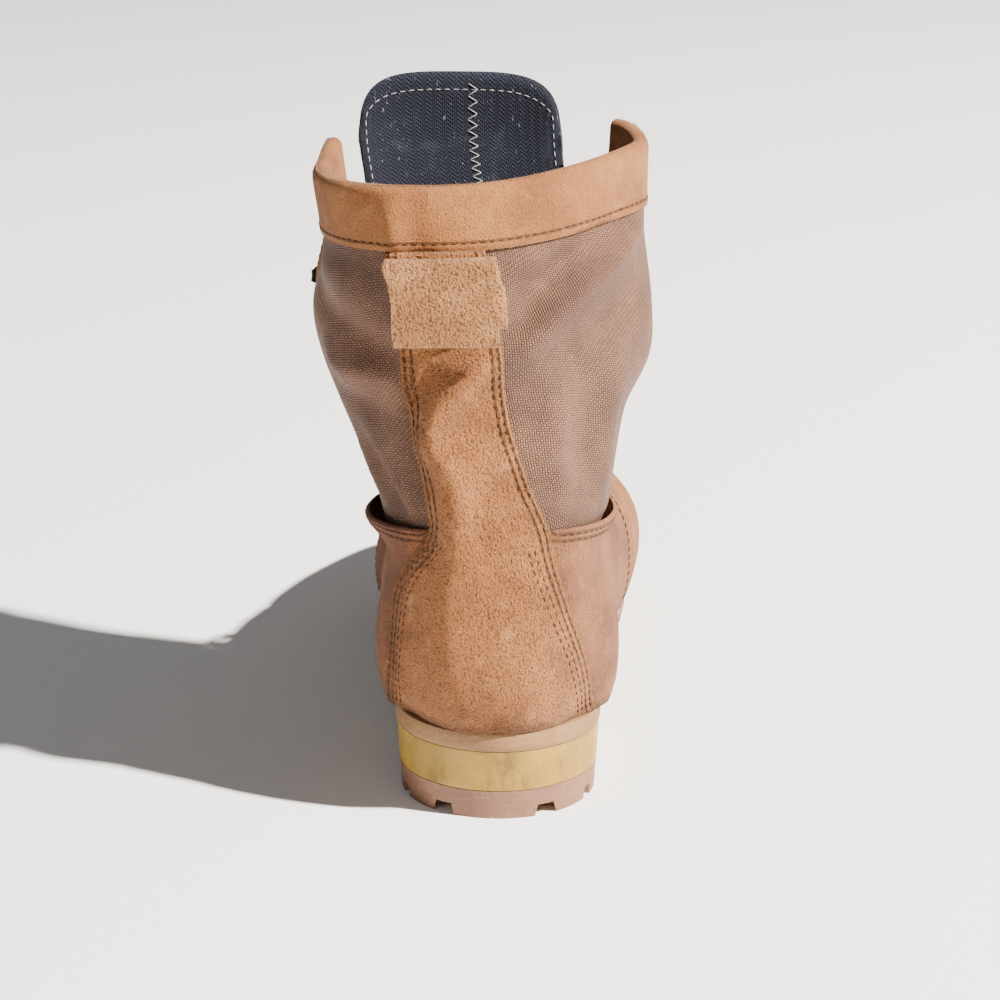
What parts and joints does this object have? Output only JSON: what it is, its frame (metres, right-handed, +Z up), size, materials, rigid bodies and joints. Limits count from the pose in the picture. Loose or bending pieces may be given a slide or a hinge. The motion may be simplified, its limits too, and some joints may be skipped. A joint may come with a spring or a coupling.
{
  "type": "combat boot",
  "caption": "Left desert combat boot in tan rough-out leather and nylon, with a slack open shaft, long tongue, turned-down pull loop and lugged sole with a yellow wedge.",
  "frame": {"origin": "on the floor under the middle of the heel, where the outsole's heel rests", "axes": "+Y from heel to toe, +X to the wearer's inner (medial) side, +Z up"},
  "size_m": [0.1324, 0.3128, 0.2611],
  "materials": {
    "nylon": "heavy basket weave",
    "suede": "rough-out",
    "nubuck": "smooth nap",
    "lining": "herringbone mesh",
    "tan_rubber": "matte",
    "yellow_foam": "matte, scuffed",
    "dark_metal": "dull enamel",
    "cord": "braided"
  },
  "bodies": {
    "root": {"outsole": "tan_rubber", "midsole_wedge": "yellow_foam", "midsole_rand": "tan_rubber", "insole": "lining", "upper": "nylon", "vamp": "suede", "quarter_medial": "nubuck", "quarter_lateral": "nubuck", "backstay": "suede", "cuff": "nubuck", "pull_loop": "suede", "tongue": "lining", "lace": "cord", "eyelet_medial_1": "dark_metal", "hook_medial_1": "dark_metal", "eyelet_medial_2": "dark_metal", "hook_medial_2": "dark_metal", "eyelet_medial_3": "dark_metal", "hook_medial_3": "dark_metal", "eyelet_medial_4": "dark_metal", "hook_medial_4": "dark_metal", "eyelet_lateral_1": "dark_metal", "hook_lateral_1": "dark_metal", "eyelet_lateral_2": "dark_metal", "hook_lateral_2": "dark_metal", "eyelet_lateral_3": "dark_metal", "hook_lateral_3": "dark_metal", "eyelet_lateral_4": "dark_metal", "hook_lateral_4": "dark_metal"}
  },
  "joints": []
}
